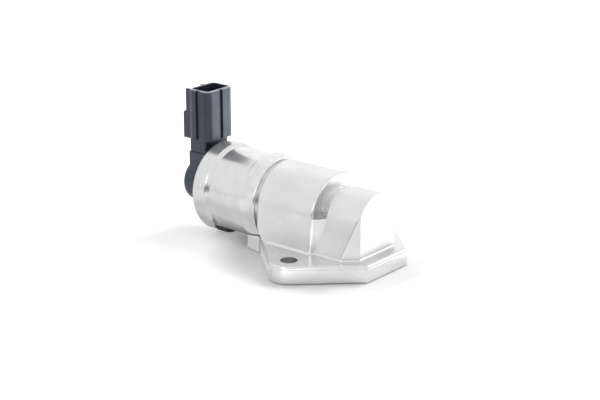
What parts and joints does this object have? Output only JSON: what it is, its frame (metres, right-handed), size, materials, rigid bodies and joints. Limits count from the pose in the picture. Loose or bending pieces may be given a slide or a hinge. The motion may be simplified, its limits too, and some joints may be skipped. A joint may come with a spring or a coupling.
{
  "type": "idle air control valve",
  "caption": "Idle air control valve with a cast two-bolt housing, a steel solenoid can and a black connector; its inner plunger slides.",
  "frame": {"origin": "midway between the two bolt holes, on the mounting face", "axes": "+Z leaves the mounting face towards the housing; the plunger runs along X with the solenoid towards -X and the housing's closed end towards +X; Y runs from one bolt hole to the other"},
  "size_m": [0.101, 0.0694, 0.059],
  "materials": {
    "cast_aluminium": "satin, fine cast surface",
    "plated_steel": "smooth bright plating",
    "machined_aluminium": "turned",
    "black_plastic": "fine moulded satin",
    "tinned_terminal": "bright",
    "bobbin_plastic": "moulded",
    "copper_winding": "varnished copper",
    "soft_iron": "turned",
    "stainless": "ground",
    "bush_bronze": "sintered",
    "seal_rubber": "smooth",
    "spring_steel": "drawn wire",
    "seat_brass": "turned"
  },
  "bodies": {
    "housing": {"valve_body": "cast_aluminium", "valve_seat": "seat_brass", "coil_can": "plated_steel", "crimp_band": "plated_steel", "front_plate": "machined_aluminium", "front_seal": "seal_rubber", "end_cap": "black_plastic", "rear_seal": "seal_rubber", "terminal_pin_a": "tinned_terminal", "terminal_pin_b": "tinned_terminal", "bobbin": "bobbin_plastic", "coil_winding": "copper_winding", "pole_core": "soft_iron", "rear_flux_washer": "soft_iron", "armature_sleeve": "stainless", "front_bush": "bush_bronze", "rear_bush": "bush_bronze", "bias_spring": "spring_steel", "adjuster_screw": "stainless", "boss_plug": "black_plastic", "return_spring": "spring_steel"},
    "plunger": {"armature": "soft_iron", "plunger_shaft": "stainless", "valve_poppet": "seat_brass", "poppet_seal": "seal_rubber", "shaft_clip": "spring_steel"}
  },
  "joints": [
    {"name": "plunger_slide", "type": "slide", "parent": "housing", "child": "plunger", "axis": [1, 0, 0], "range_m": [0, 0.003], "stiffness_N_per_m": 600, "springref_m": -0.003, "deforming": ["return_spring", "bias_spring"]}
  ]
}
